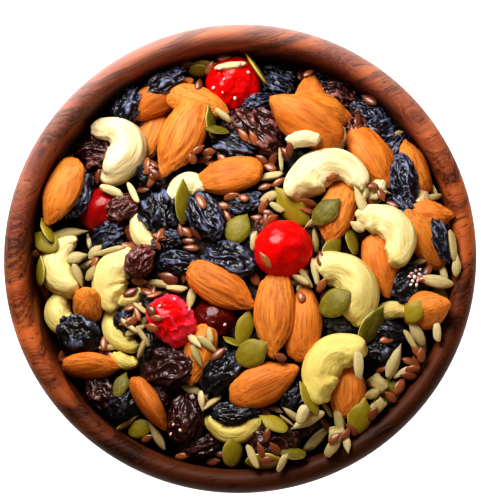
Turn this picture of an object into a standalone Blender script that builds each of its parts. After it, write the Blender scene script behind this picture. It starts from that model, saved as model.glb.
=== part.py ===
"""A bowl of trail mix: a turned wooden bowl heaped with nuts, dried fruit and seeds.

Metres, +Z up. The origin is the centre of the bowl's foot, and the bowl stands on Z = 0.
The bowl is plain and round, so only the food says which way +X and +Y point.
"""

import bpy
import bmesh
import numpy as np
from math import cos, sin, pi, radians, sqrt, tan
from mathutils import Vector

MM = 0.001

# The bowl: a slice of an ellipsoid outside, a fuller hollow inside, and a rounded lip
RIM_RADIUS = 76 * MM
BOWL_HEIGHT = 64 * MM
LIP_WIDTH = 7.5 * MM
LIP_ROUND = 5 * MM
OUTSIDE_DEPTH = 66 * MM
FLOOR = 9 * MM
HOLLOW_POWER = 2.3
LIP_BASE = BOWL_HEIGHT - LIP_ROUND
HOLLOW_RADIUS = RIM_RADIUS - LIP_WIDTH
TURNED_STEPS = 48
WALL_STEPS = 7
FLAT_RADIUS = 15 * MM
LIP_STEPS = 6

# The heap's core, which lies under the pieces that show
FILL_RADIUS = 67 * MM
CORE_EDGE = BOWL_HEIGHT - 14.5 * MM
CORE_TILT = 11 * MM
CORE_RINGS = 5
CROWN = 11 * MM
TOP_TILT = 6 * MM
TILT_TOWARDS = radians(-42)

# Where the tops of the pieces lie on average, at the middle of the wall's edge
MEAN_TOP = BOWL_HEIGHT - 3.5 * MM

GAP = 0.3 * MM
WALL_GAP = 0.8 * MM

# The table of pieces was read from above: places are at this height, seen from this point
READING_HEIGHT = BOWL_HEIGHT - 4 * MM
READING_POINT = Vector((34, -91, 702)) * MM

# The grid on which pieces are stacked
CELL = 0.5 * MM
GRID_HALF = 80 * MM
LEAN_LIMIT = radians(24)
LEAN_SHARE = 0.75
PRESS_PERCENT = 85
INWARD_STEP = 0.8 * MM
INWARD_LIMIT = 4 * MM
STAND_OFF = 1.5 * MM

# For each kind: thickness as a share of width, how far a piece sinks into what is under it,
# how far its top may stand over the mean, then its rings and sides as a faceted solid
KINDS = {
    "almond": dict(thick=0.64, sink=1.8, rise=4.0, rings=4, sides=7, point=0.25),
    "cashew": dict(thick=0.85, sink=1.8, rise=4.0, rings=5, sides=6, point=0),
    "cherry": dict(thick=0.92, sink=3.5, rise=6.0, rings=4, sides=8, point=0),
    "raisin": dict(thick=0.72, sink=2.0, rise=3.0, rings=3, sides=6, point=0),
    "cranberry": dict(thick=0.72, sink=2.0, rise=3.0, rings=3, sides=6, point=0),
    "pumpkin": dict(thick=0.34, sink=1.0, rise=5.0, rings=3, sides=6, point=0.15),
    "sunflower": dict(thick=0.5, sink=1.0, rise=5.5, rings=3, sides=4, point=0.25),
}

# Kind, across, up, turn, length and width in millimetres and degrees. Turn is from +X
# towards +Y and gives the pointed end. Then, where they aren't 0, come the roll about the
# length, the lift of the nose, a cashew's bend and how much its far end is fatter, and
# how much deeper than usual the piece is pressed in.
DEEP = [
    ("raisin", -48, 40.5, 10, 10, 7.5),
    ("cherry", -43.5, 14.5, 0, 17, 16, 0, 0, 0, 0, 3),
    ("almond", -28.5, 41, 70, 23, 12),
    ("raisin", -57, 13, 0, 11, 9),
    ("cherry", -7.5, -21.5, 0, 16, 15, 0, 0, 0, 0, 6),
    ("cranberry", -46, -46, -50, 14, 10),
    ("raisin", -37, -47, 60, 15, 11),
    ("cranberry", 11, -59, 0, 16, 15),
    ("raisin", 33, -22, 0, 14, 9),
    ("cranberry", -13, -61, 10, 14, 9),
    ("raisin", 45.5, -31, 20, 12, 10),
    ("raisin", 27, 57.5, -20, 12, 8),
    ("cashew", 56.5, 18, 15, 15, 8, 0, 0, 120),
    ("cashew", -58, -19.5, 200, 17, 9.5, 0, 0, 110),
]
MIDDLE = [
    ("raisin", -38, 52.5, 60, 13, 10),
    ("raisin", -24.5, 59.5, 27, 17, 9),
    ("almond", -25.5, 52, 28, 24, 11.5, 20),
    ("almond", -13.5, 50, 340, 22, 11),
    ("raisin", 13, 61.5, -20, 13, 8.5),
    ("raisin", 12.5, 55, -30, 12, 9),
    ("almond", 23.5, 49, 92, 22, 12),
    ("cranberry", 33, 53, -25, 12.5, 9),
    ("raisin", 43.5, 48.5, -25, 13, 8),
    ("raisin", 46, 41, 15, 13, 9),
    ("almond", 27, 46.5, 345, 22, 12),
    ("almond", 58, 29, 110, 20, 11, 50),
    ("raisin", 6, 50, 10, 11, 7),
    ("cranberry", 7.5, 41, -40, 20, 14),
    ("raisin", -3, 36, -22, 19, 9),
    ("cranberry", -48.5, 34.5, 10, 15, 12),
    ("raisin", -51.5, 19.5, 80, 16.5, 10.5),
    ("cranberry", -37.5, 15.5, 30, 11, 8.5),
    ("raisin", -42, 6.5, 15, 11, 9),
    ("cashew", -30, 6.5, 225, 16.5, 6.5, 0, 0, 90),
    ("cashew", -17, 22, 110, 14, 9, 0, 0, 90),
    ("cashew", -57.5, -2.5, 188, 22, 12, 0, 0, 130, 0.3),
    ("almond", -48.5, -16, 40, 17, 12, 0, 50),
    ("raisin", -51.5, -26, -30, 16, 13),
    ("almond", -28.5, -47.5, 302, 20, 11, 60),
    ("cranberry", -23, -36, 10, 19, 14),
    ("cranberry", -17.5, -53, 80, 17, 13),
    ("raisin", -5.5, -37, 50, 17, 12),
    ("cashew", -1.5, -55.5, 270, 20, 7.5, 0, 0, 110),
    ("raisin", -1.5, -51, 0, 16, 8),
    ("almond", 34.5, -43.5, 88, 18, 12),
    ("almond", 62, 12, 5, 17, 10.5, 0, 28),
    ("almond", 45.5, -3.5, 282, 21.5, 12),
    ("raisin", 54.5, -10, 60, 13, 11),
    ("almond", 31.5, 13.5, 252, 21, 12),
    ("cashew", 48.5, -18.5, 100, 12, 6, 0, 0, 40),
]
UPPER = [
    ("almond", -61, 22.5, 247, 23.5, 12.5),
    ("cashew", -38.5, 36.5, 18, 25, 12.5, 0, 0, 150, -0.35),
    ("almond", -18.5, 38.5, 245, 28, 14.5),
    ("almond", 21.5, 43.5, 148, 27, 15),
    ("cashew", 21, 37.5, 95, 12, 5.5, 0, 0, 30),
    ("almond", -3.5, 25.5, 191, 24, 12.5),
    ("almond", 43, 31, 302, 22.5, 13.5),
    ("raisin", 53, 23.5, 98, 17, 9),
    ("almond", 59.5, 4.5, 120, 22, 10),
    ("raisin", 64.5, 4.5, 112, 15, 6),
    ("cashew", 29.5, 26.5, 97, 28, 12.5, 0, 0, 130, 0.25),
    ("cashew", 49, 7, 35, 24, 11, 0, 0, 120),
    ("cashew", 36, -10, 30, 27, 13, 0, 0, 105),
    ("almond", 60.5, -18.5, 20, 19, 12.5, 0, 45),
    ("cashew", 29, -35, 140, 25, 13, 0, 0, 105),
    ("almond", 20.5, -22.5, 85, 24, 12.5),
    ("raisin", -11, 12.5, -60, 17, 11),
    ("raisin", -26.3, 14.3, 110, 15, 13),
    ("raisin", -19.5, -2, -15, 14, 9),
    ("pumpkin", 0, 8.5, 60, 11, 8.5),
    ("raisin", -3.5, -1.5, -15, 19, 12),
    ("cashew", -40.5, -7, 160, 20, 12.5, 0, 0, 100),
    ("cranberry", -31.5, -2.5, 60, 12, 10),
    ("cashew", -38.5, -25, 215, 18, 7, 0, 0, 110),
    ("almond", -5.5, -10.5, 330, 25, 12.5),
    ("almond", 11.5, -19.5, 268, 27, 13.5),
    ("almond", -49, -37, 0, 19.5, 11.5, 55),
    ("almond", 8, -41.5, 24, 24, 13.5),
    ("cashew", -36.5, -34, 250, 9, 5, 0, 0, 50),
]
SEEDS = [
    ("pumpkin", -64, 5, 140, 10, 7.5),
    ("pumpkin", -65.5, -5, 90, 10, 6, -40),
    ("pumpkin", -9, 43.5, 100, 11, 5, 40),
    ("pumpkin", -18, 17.5, 88, 14.5, 6, 50),
    ("pumpkin", 17, 15.8, 130, 15.5, 9),
    ("pumpkin", 28.3, 14, 40, 11.5, 7.5),
    ("pumpkin", 36.3, 4.5, 105, 10, 5, 35),
    ("pumpkin", 31.2, -15.5, 30, 12, 9),
    ("pumpkin", 42.5, -23, 60, 14, 7.5, 20),
    ("pumpkin", 56, -18.5, 60, 8, 6.5),
    ("pumpkin", 65.5, -16, 75, 10, 6),
    ("pumpkin", 2, -23.5, 75, 12, 6, 25),
    ("pumpkin", 4.5, -31.5, 30, 12, 9),
    ("pumpkin", 22.3, -46, 118, 11.5, 5.5, 60),
    ("pumpkin", 39.5, -53, 75, 11.5, 8),
    ("pumpkin", 47.5, -44, 30, 11, 7.5),
    ("pumpkin", -31, -55.5, 25, 9, 6),
    ("pumpkin", -2, -66, 82, 11, 6.5, 15),
    ("sunflower", -54.5, 7.5, 8, 12.5, 5),
    ("sunflower", -40.5, 21, 335, 10, 5),
    ("sunflower", 11, 25.5, 12, 9.5, 4.5),
    ("sunflower", 9.5, 18.5, 200, 7.5, 4.5),
    ("sunflower", 24.3, -5, 100, 10, 4, 20),
    ("sunflower", 39.3, 17, 110, 11, 4.5),
    ("sunflower", 63, -25.5, 275, 7.5, 4.5),
    ("sunflower", 61, -31, 290, 7.5, 6),
    ("sunflower", 56.5, -25, 118, 10.5, 5),
    ("sunflower", 49.5, -34.5, 70, 12, 5.5),
    ("sunflower", 38.2, -35, 97, 10.5, 5.5),
    ("sunflower", 44.5, -41.5, 150, 8, 5.5),
    ("sunflower", 32, -53.5, 105, 9.5, 5.3),
    ("sunflower", 21.5, -53.3, 208, 13, 5),
    ("sunflower", 24.5, -60.5, 222, 12.5, 5.5),
    ("sunflower", -26, -57.8, 118, 10.5, 4),
    ("sunflower", 46.5, -51, 70, 7, 5),
]

# The cherries that lie on top are sub-parts of their own: name, across, up, width, and
# the layer that they come before
TOP_CHERRIES = [
    ("cherry_back", -1.8, 57.5, 18.4, "middle"),
    ("cherry_centre", 14.3, 1.5, 18.8, "upper"),
    ("cherry_front", -22, -21, 18.5, "upper"),
]

WOOD = (0.20, 0.07, 0.03)
MIXED_FOOD = (0.45, 0.25, 0.10)
CHERRY_RED = (0.70, 0.01, 0.01)


def clear_scene():
    for thing in list(bpy.data.objects):
        bpy.data.objects.remove(thing)


def plain_material(name, colour, roughness):
    material = bpy.data.materials.new(name)
    material.use_nodes = True
    shader = material.node_tree.nodes["Principled BSDF"]
    shader.inputs["Base Color"].default_value = (*colour, 1)
    shader.inputs["Roughness"].default_value = roughness
    shader.inputs["Metallic"].default_value = 0
    return material


def new_object(name, bm, collection):
    bmesh.ops.recalc_face_normals(bm, faces=bm.faces)
    mesh = bpy.data.meshes.new(name)
    bm.to_mesh(mesh)
    bm.free()
    thing = bpy.data.objects.new(name, mesh)
    collection.objects.link(thing)
    return thing


def finish(thing, material, crease_degrees):
    thing.data.materials.clear()
    thing.data.materials.append(material)
    thing.data.shade_smooth()
    thing.data.set_sharp_from_angle(angle=radians(crease_degrees))


def hollow_height(r):
    """Height of the hollow's surface at radius r, up to the lip's base."""
    share = np.clip(r / HOLLOW_RADIUS, 0, 1)
    return FLOOR + (LIP_BASE - FLOOR) * (1 - (1 - share**HOLLOW_POWER) ** (1 / HOLLOW_POWER))


def hollow_radius(z):
    share = np.clip((LIP_BASE - z) / (LIP_BASE - FLOOR), 0, 1)
    return HOLLOW_RADIUS * (1 - share**HOLLOW_POWER) ** (1 / HOLLOW_POWER)


def bowl_top(r):
    """Height of the bowl's upper surface at radius r, over the hollow and the lip."""
    off_middle = (r - HOLLOW_RADIUS - LIP_WIDTH / 2) / (LIP_WIDTH / 2)
    lip = LIP_BASE + LIP_ROUND * np.sqrt(1 - np.clip(off_middle, -1, 1) ** 2)
    return np.where(r < HOLLOW_RADIUS, hollow_height(r), np.where(r < RIM_RADIUS, lip, 0.0))


def dome(x, y, tilt):
    """How far a surface stands over its edge: a low dome that tips one way."""
    r = np.hypot(x, y) / FILL_RADIUS
    return tilt * r * np.cos(np.arctan2(y, x) - TILT_TOWARDS) + CROWN * (1 - r**2)


def core_top(x, y):
    return CORE_EDGE + dome(x, y, CORE_TILT)


def turned_solid(name, profile, collection):
    """Spin a profile, given as radius and height from axis to axis, into a closed solid."""
    bm = bmesh.new()
    points = [bm.verts.new((r, 0, z)) for r, z in profile]
    edges = [bm.edges.new(pair) for pair in zip(points, points[1:])]
    bmesh.ops.spin(bm, geom=points + edges, cent=(0, 0, 0), axis=(0, 0, 1),
                   angle=2 * pi, steps=TURNED_STEPS, use_merge=True)
    bmesh.ops.remove_doubles(bm, verts=bm.verts, dist=MM / 1000)
    return new_object(name, bm, collection)


def hollow_profile():
    """Radius and height down the hollow's wall and in to the axis."""
    depth = LIP_BASE - FLOOR
    heights = [LIP_BASE - depth * share**0.7 for share in np.linspace(0, 1, WALL_STEPS + 1)[1:-1]]
    wall = [(float(hollow_radius(z)), z) for z in heights]
    flat = [(FLAT_RADIUS, float(hollow_height(FLAT_RADIUS))), (0, FLOOR)]
    return wall + flat


def make_bowl(collection):
    foot_angle = np.arcsin(LIP_BASE / OUTSIDE_DEPTH)
    outside = [(RIM_RADIUS * cos(a), LIP_BASE - OUTSIDE_DEPTH * sin(a))
               for a in np.linspace(foot_angle, 0, WALL_STEPS + 1)]
    outside[0] = (outside[0][0], 0)
    middle = HOLLOW_RADIUS + LIP_WIDTH / 2
    lip = [(middle + LIP_WIDTH / 2 * cos(a), LIP_BASE + LIP_ROUND * sin(a))
           for a in np.linspace(0, pi, LIP_STEPS + 1)]
    return turned_solid("bowl", [(0, 0)] + outside + lip[1:] + hollow_profile(), collection)


def make_core(collection):
    """The fill under the pieces: it follows the hollow below and domes over the top."""
    lowest_edge = CORE_EDGE - CORE_TILT
    below = [(max(0, r - GAP), z + GAP) for r, z in hollow_profile() if z < lowest_edge - 2 * MM]
    above = [(k / CORE_RINGS, 1.0) for k in range(CORE_RINGS + 1)]
    core = turned_solid("trail_mix", above + below, collection)
    for vert in core.data.vertices:
        if vert.co.z == 1:
            edge = vert.co.xy.normalized() * FILL_RADIUS
            reach = float(hollow_radius(core_top(*edge))) - 2 * GAP
            vert.co.xy *= reach
            vert.co.z = float(core_top(vert.co.x, vert.co.y))
    return core


def turned(axis, degrees):
    c, s = cos(radians(degrees)), sin(radians(degrees))
    return np.array({
        "x": [[1, 0, 0], [0, c, -s], [0, s, c]],
        "y": [[c, 0, s], [0, 1, 0], [-s, 0, c]],
        "z": [[c, -s, 0], [s, c, 0], [0, 0, 1]],
    }[axis])


def leaning(slope_x, slope_y):
    """The turn that tips +Z onto the normal of a plane with these slopes."""
    steep = np.hypot(slope_x, slope_y)
    if steep < 1e-9:
        return np.eye(3)
    angle = np.arctan(steep)
    kx, ky = slope_y / steep, -slope_x / steep
    k = np.array([[0, 0, ky], [0, 0, -kx], [-ky, kx, 0]])
    return np.eye(3) + sin(angle) * k + (1 - cos(angle)) * k @ k


def bend_line(length, width, bend):
    """A cashew's middle line: its arc's radius and the shift that centres the nut."""
    half = radians(bend) / 2
    radius = (length - width) / 2 / max(sin(half), 0.3)
    return half, radius, radius * (1 + cos(half)) / 2


def lumps(kind, length, width, bend, fatter):
    """The ellipsoids that stand for a piece in the stack: each one's centre and half sizes."""
    thick = KINDS[kind]["thick"]
    if kind != "cashew":
        return [(np.zeros(3), np.array([length / 2, width / 2, thick * width / 2]))]
    half, radius, shift = bend_line(length, width, bend)
    found = []
    for share in (-0.9, -0.45, 0, 0.45, 0.9):
        size = width / 2 * (1 + fatter * share)
        centre = np.array([radius * cos(share * half) - shift, radius * sin(share * half), 0])
        found.append((centre, np.array([size, size, size * thick])))
    return found


class Stack:
    """A height map of the bowl and what lies in it. Each piece comes to rest on it in turn."""

    def __init__(self):
        self.axis = np.arange(-GRID_HALF, GRID_HALF + CELL, CELL)
        self.x, self.y = np.meshgrid(self.axis, self.axis)
        r = np.hypot(self.x, self.y)
        self.bowl = bowl_top(r)
        fill = np.maximum(core_top(self.x, self.y), self.bowl)
        self.top = np.where(r < HOLLOW_RADIUS, fill, self.bowl)

    def window(self, x, y, reach):
        first_row = max(0, int((y - reach + GRID_HALF) / CELL))
        last_row = int((y + reach + GRID_HALF) / CELL) + 2
        first_column = max(0, int((x - reach + GRID_HALF) / CELL))
        last_column = int((x + reach + GRID_HALF) / CELL) + 2
        return slice(first_row, last_row), slice(first_column, last_column)

    def under_and_over(self, turn, parts, x, y, seen):
        """Heights of a piece's lower and upper faces over the window, for a centre at 0."""
        lower = np.full(self.x[seen].shape, np.inf)
        upper = np.full(self.x[seen].shape, -np.inf)
        for centre, half in parts:
            c = turn @ centre
            form = turn @ np.diag(1 / half**2) @ turn.T
            dx, dy = self.x[seen] - x - c[0], self.y[seen] - y - c[1]
            b = form[0, 2] * dx + form[1, 2] * dy
            rest = form[0, 0] * dx**2 + 2 * form[0, 1] * dx * dy + form[1, 1] * dy**2 - 1
            root = np.sqrt(np.clip(b**2 - form[2, 2] * rest, 0, None))
            hit = root > 0
            lower = np.where(hit, np.minimum(lower, (-b - root) / form[2, 2] + c[2]), lower)
            upper = np.where(hit, np.maximum(upper, (-b + root) / form[2, 2] + c[2]), upper)
        return lower, upper

    def lay(self, kind, across, up, turn, length, width, roll=0, nose=0, bend=0, fatter=0,
            sunk=0):
        """Lay a piece where the table puts it, and give its turn and its centre."""
        across, up, length, width = (v * MM for v in (across, up, length, width))
        rules = KINDS[kind]
        parts = lumps(kind, length, width, bend, fatter)
        own_turn = turned("z", turn) @ turned("y", -nose) @ turned("x", roll)
        z, inward = READING_HEIGHT, 0.0
        for _ in range(12):
            along_sight = (READING_HEIGHT - z) / (READING_POINT.z - READING_HEIGHT)
            x = across + (across - READING_POINT.x) * along_sight
            y = up + (up - READING_POINT.y) * along_sight
            shrink = 1 - inward / max(np.hypot(x, y), MM)
            x, y = x * shrink, y * shrink
            seen = self.window(x, y, 0.75 * length)
            dx, dy = self.x[seen] - x, self.y[seen] - y
            near = np.hypot(dx, dy) < 0.21 * (length + width)
            plane = np.c_[dx[near], dy[near], np.ones(near.sum())]
            slope_x, slope_y, _ = np.linalg.lstsq(plane, self.top[seen][near], rcond=None)[0]
            steep = max(np.hypot(slope_x, slope_y), 1e-9)
            lean = LEAN_SHARE * min(1, tan(LEAN_LIMIT) / steep)
            full_turn = leaning(slope_x * lean, slope_y * lean) @ own_turn
            lower, upper = self.under_and_over(full_turn, parts, x, y, seen)
            inside = np.isfinite(lower)
            on_food = np.percentile((self.top[seen] - lower)[inside], PRESS_PERCENT)
            highest = MEAN_TOP + float(dome(x, y, TOP_TILT)) + rules["rise"] * MM
            wanted = min(on_food - (rules["sink"] + sunk) * MM, highest - upper[inside].max())
            on_bowl = (self.bowl[seen] - lower)[inside].max() + WALL_GAP
            z = max(wanted, on_bowl)
            if on_bowl > wanted + STAND_OFF:
                inward = min(inward + INWARD_STEP, INWARD_LIMIT)
        self.top[seen] = np.maximum(self.top[seen], upper + z)
        return full_turn, np.array([x, y, z])


def sections(kind, length, width, bend, fatter):
    """Rings from end to end: centre, direction, half width and half thickness of each."""
    rules = KINDS[kind]
    found = []
    if kind == "cashew":
        half, radius, shift = bend_line(length, width, bend)
        straight = 0.9 * half
        end = straight + width / 2 / radius
        for share in np.sin(np.linspace(-pi / 2, pi / 2, rules["rings"] + 2)):
            a = share * end
            past = max(0, (abs(a) - straight) / (end - straight))
            size = width / 2 * (1 + fatter * share) * sqrt(max(0, 1 - past**2))
            centre = (radius * cos(a) - shift, radius * sin(a), 0)
            found.append((centre, (-sin(a), cos(a)), size, size * rules["thick"]))
        return found
    for share in np.sin(np.linspace(-pi / 2, pi / 2, rules["rings"] + 2)):
        size = width / 2 * sqrt(max(0, 1 - share**2)) * (1 - rules["point"] * share)
        found.append(((share * length / 2, 0, 0), (1, 0), size, size * rules["thick"]))
    return found


def clear_of_bowl(point):
    """Pull a corner that would touch the bowl back into the hollow, or up over the lip."""
    x, y, z = point
    r = np.hypot(x, y)
    if z < LIP_BASE:
        pull = min(1, (float(hollow_radius(z)) - WALL_GAP) / r)
        return np.array([x * pull, y * pull, z])
    return np.array([x, y, max(z, float(bowl_top(r)) + WALL_GAP)])


def make_piece(kind, place, turn, length, width, collection, bend=0, fatter=0):
    """A closed faceted piece, bridged from ring to ring and closed to a point at each end."""
    sides = KINDS[kind]["sides"]
    uneven = 0.07 if kind in ("raisin", "cranberry") else 0
    bm = bmesh.new()
    loops = []
    for number, (centre, along, wide, high) in enumerate(sections(kind, length, width, bend, fatter)):
        across = np.array([-along[1], along[0], 0])
        loop = []
        for side in range(sides if wide > 1e-9 else 1):
            a = 2 * pi * side / sides
            dent = 1 - uneven * (1 + sin(5 * a + 3 * number))
            point = np.array(centre) + dent * (across * wide * cos(a) + np.array([0, 0, high * sin(a)]))
            loop.append(bm.verts.new(clear_of_bowl(turn @ point + place)))
        loops.append(loop)
    for first, second in zip(loops, loops[1:]):
        for side in range(sides):
            corners = [first[side % len(first)], first[(side + 1) % len(first)],
                       second[(side + 1) % len(second)], second[side % len(second)]]
            bm.faces.new(list(dict.fromkeys(corners)))
    bmesh.ops.triangulate(bm, faces=bm.faces)
    return new_object(kind, bm, collection)


def make_top_cherry(name, place, width, grow, collection):
    """A round fruit, a little flattened and dented. grow makes the pocket that it lies in."""
    bm = bmesh.new()
    bmesh.ops.create_icosphere(bm, subdivisions=3, radius=1)
    for vert in bm.verts:
        x, y, z = vert.co
        dent = 1 - 0.02 * (1 + sin(3.1 * x + 1.7 * y) * sin(2.9 * z + 1.3 * x + 2.0 * y))
        vert.co = Vector((x, y, z * KINDS["cherry"]["thick"])) * (width / 2 * dent + grow) + Vector(place)
    return new_object(name, bm, collection)


def boolean(thing, operation, solver, collection):
    step = thing.modifiers.new(operation.title(), "BOOLEAN")
    step.operation = operation
    step.operand_type = "COLLECTION"
    step.collection = collection
    step.solver = solver
    seen = thing.evaluated_get(bpy.context.evaluated_depsgraph_get())
    fused = bpy.data.meshes.new_from_object(seen)
    thing.modifiers.clear()
    thing.data = fused
    for used in list(collection.objects):
        bpy.data.objects.remove(used)


def keep_outer_body(thing):
    """Fill hollows that fusing has sealed and drop loose scraps: only the large shell stays."""
    bm = bmesh.new()
    bm.from_mesh(thing.data)
    unseen = set(bm.verts)
    shells = []
    while unseen:
        shell, edge_of = set(), [unseen.pop()]
        while edge_of:
            vert = edge_of.pop()
            shell.add(vert)
            for edge in vert.link_edges:
                other = edge.other_vert(vert)
                if other in unseen:
                    unseen.discard(other)
                    edge_of.append(other)
        shells.append(shell)
    largest = max(shells, key=len)
    spare = [vert for shell in shells if shell is not largest for vert in shell]
    bmesh.ops.delete(bm, geom=spare, context="VERTS")
    bm.to_mesh(thing.data)
    bm.free()


def make_heap_and_cherries(collection):
    pieces = bpy.data.collections.new("pieces")
    pockets = bpy.data.collections.new("pockets")
    for group in (pieces, pockets):
        bpy.context.scene.collection.children.link(group)
    core = make_core(collection)
    stack = Stack()
    red = plain_material("cherry", CHERRY_RED, 0.2)
    for layer, rows in (("deep", DEEP), ("middle", MIDDLE), ("upper", UPPER), ("seeds", SEEDS)):
        for name, across, up, width, before in TOP_CHERRIES:
            if before == layer:
                _, place = stack.lay("cherry", across, up, 0, width, width)
                cherry = make_top_cherry(name, place, width * MM, 0, collection)
                finish(cherry, red, 60)
                make_top_cherry("pocket", place, width * MM, GAP, pockets)
        for row in rows:
            kind, _, _, _, length, width, *rest = row
            turn, place = stack.lay(*row)
            bend, fatter = (rest[2:] + [0, 0])[:2]
            make_piece(kind, place, turn, length * MM, width * MM, pieces, bend, fatter)
    boolean(core, "UNION", "MANIFOLD", pieces)
    boolean(core, "DIFFERENCE", "MANIFOLD", pockets)
    keep_outer_body(core)
    finish(core, plain_material("mixed_food", MIXED_FOOD, 0.5), 35)
    for group in (pieces, pockets):
        bpy.data.collections.remove(group)


def main():
    clear_scene()
    collection = bpy.context.scene.collection
    bowl = make_bowl(collection)
    finish(bowl, plain_material("wood", WOOD, 0.4), 40)
    make_heap_and_cherries(collection)


main()
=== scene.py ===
"""A bowl of trail mix: the bowl's wood, and every nut, fruit and seed of the heap.

Metres, +Z up. The origin is the centre of the bowl's foot. +Y is the far side of the bowl.
"""

import random
from math import cos, sin, pi, radians, sqrt, tan

import bpy
import numpy as np
from mathutils import Matrix, Vector


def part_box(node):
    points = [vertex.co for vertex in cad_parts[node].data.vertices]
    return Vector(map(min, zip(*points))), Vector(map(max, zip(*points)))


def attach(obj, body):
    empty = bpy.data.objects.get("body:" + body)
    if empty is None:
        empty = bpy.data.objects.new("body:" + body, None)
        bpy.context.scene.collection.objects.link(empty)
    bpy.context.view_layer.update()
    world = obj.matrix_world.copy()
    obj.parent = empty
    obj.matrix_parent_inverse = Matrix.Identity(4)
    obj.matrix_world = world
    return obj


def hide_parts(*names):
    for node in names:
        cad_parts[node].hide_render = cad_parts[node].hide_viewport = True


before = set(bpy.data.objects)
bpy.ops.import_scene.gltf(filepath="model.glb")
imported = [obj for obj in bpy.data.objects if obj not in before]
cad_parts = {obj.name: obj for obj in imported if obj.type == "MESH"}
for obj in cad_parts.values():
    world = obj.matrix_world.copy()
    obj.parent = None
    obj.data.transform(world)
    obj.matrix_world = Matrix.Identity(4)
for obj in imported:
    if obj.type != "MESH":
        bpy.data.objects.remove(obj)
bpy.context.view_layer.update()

MM = 0.001

# The bowl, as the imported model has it
_, BOWL_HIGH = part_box("bowl")
RIM_RADIUS = BOWL_HIGH[0]
BOWL_HEIGHT = BOWL_HIGH[2]
LIP_WIDTH = 7.5 * MM
LIP_ROUND = 5 * MM
OUTSIDE_DEPTH = 66 * MM
FLOOR = 9 * MM
HOLLOW_POWER = 2.3
LIP_BASE = BOWL_HEIGHT - LIP_ROUND
HOLLOW_RADIUS = RIM_RADIUS - LIP_WIDTH
FOOT_RADIUS = RIM_RADIUS * sqrt(1 - (LIP_BASE / OUTSIDE_DEPTH) ** 2)
FOOT_INSET = 0.9 * MM
FOOT_ROUND = 0.8 * MM
LATHE_STEPS = 160

# The heap's core, the mean height of its top, and the scene's own core inside it
FILL_RADIUS = 67 * MM
CORE_EDGE = BOWL_HEIGHT - 14.5 * MM
CORE_TILT = 11 * MM
CROWN = 11 * MM
TOP_TILT = 6 * MM
TILT_TOWARDS = radians(-42)
MEAN_TOP = BOWL_HEIGHT - 3.5 * MM
WALL_GAP = 0.8 * MM
CORE_RADIUS = 63.5 * MM

# On the wood: where the wall's upper part begins, and between which heights the painted shade
# inside sets in
UPPER_WALL = 45 * MM
INNER_SHADE_FOOT = (32 * MM, 36 * MM)

# The camera looks down on the bowl, a little from the near right
LOOK_AT = Vector((0.6, 1.5, 60)) * MM
SIGHT_LENGTH = 0.65
SIGHT_TURN = radians(20)
SIGHT_RISE = radians(81.3)
LENS = 145.8
EYE = LOOK_AT + SIGHT_LENGTH * Vector((sin(SIGHT_TURN) * cos(SIGHT_RISE),
                                       -cos(SIGHT_TURN) * cos(SIGHT_RISE), sin(SIGHT_RISE)))
READING_HEIGHT = LOOK_AT.z

# Each light's place, size and power, and the light of the room
LIGHTS = (((-0.11, 0.24, 0.34), 0.22, 1.75), ((0.6, 0.3, 0.6), 0.4, 0.35))
ROOM_COLOUR = (1, 0.7, 0.44, 1)
ROOM_STRENGTH = 0.22

# The grid on which pieces are stacked, and what lies on top in each cell
CELL = 0.5 * MM
GRID_HALF = 80 * MM
BARE, SHOWN, TUCKED = 0, 1, 2

# How a piece comes to rest: how far it leans with the ground, how much of the grid round it
# counts, how much of its under side has to find room, and how it moves in from the wall
LEAN_LIMIT = radians(24)
LEAN_SHARE = 0.75
WINDOW_SHARE = 0.75
GROUND_SHARE = 0.21
PRESS_PERCENT = 85
SETTLING_ROUNDS = 12
INWARD_STEP = 0.8 * MM
INWARD_LIMIT = 4 * MM
STAND_OFF = 1.5 * MM

# Where along its bend a cashew's five balls lie, the least sine that its bend counts for,
# and how strongly it tapers
BALL_SHARES = (-0.9, -0.45, 0, 0.45, 0.9)
LEAST_SINE = 0.3
TAPER_PER_SHARE = 2.6

# The pieces that fill the gaps: usual length and width, how many times a large or a small one
# is tried, and how much of one has to show and may hide the pieces of the tables
GAP_SIZES = {"raisin": (11, 8), "cranberry": (10, 8), "almond": (17, 10), "cashew": (12, 6.5),
             "sunflower": (8, 3.6), "pumpkin": (10, 6), "flax": (5, 2.6)}
GAP_REACH = 66.5 * MM
GAP_TRIES = 8500
LARGE_TRIES = 2500
GAP_BEND = 90
LEAST_SHOWING = 0.25
MOST_HIDDEN = 0.1
SEEDY_WAY = radians(-50)

# The blanks by number: deeply grooved almonds, blunt sunflower kernels and the crushed cherry.
# Then how slim a kernel is, and how deep a tip a pinch takes hold of
GROOVED = (3, 4)
BLUNT = (1, 2, 4)
CRUSHED = 2
SLIM = 0.78
TIP_DEPTH = 0.06

# The plainer blanks of the pieces that fill the gaps
SMALL_COUNT = 2
SMALL_FROM = 20
SMALL_FINENESS = 3
NO_SMALL = ("cherry", "chip", "sugar")

# How much painted light a cherry gets, on top, crushed and covered, less for each millimetre
# deeper: below 1 it is darkened with painted shade, and near 1 it gets a painted highlight
TOP_CHERRY_LIGHT = 0.9
CRUSHED_CHERRY_LIGHT = 1.0
COVERED_CHERRY_LIGHT = 0.6
CHERRY_LIGHT_LOST_PER_MM = 0.1

# For each kind: thickness as a share of width, how far it sinks into what is under it,
# and how far its top may stand over the mean, in millimetres
KINDS = {
    "almond": dict(thick=0.64, sink=1.8, rise=4.0),
    "cashew": dict(thick=0.85, sink=1.8, rise=4.0),
    "cherry": dict(thick=0.9, sink=3.5, rise=6.0),
    "raisin": dict(thick=0.72, sink=2.0, rise=3.0),
    "cranberry": dict(thick=0.72, sink=2.0, rise=3.0),
    "pumpkin": dict(thick=0.34, sink=1.0, rise=5.0),
    "sunflower": dict(thick=0.5, sink=1.0, rise=5.5),
    "chip": dict(thick=0.55, sink=1.0, rise=5.5),
    "flax": dict(thick=0.45, sink=0.4, rise=6.0),
    "sugar": dict(thick=0.9, sink=0.2, rise=9.0),
}

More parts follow.
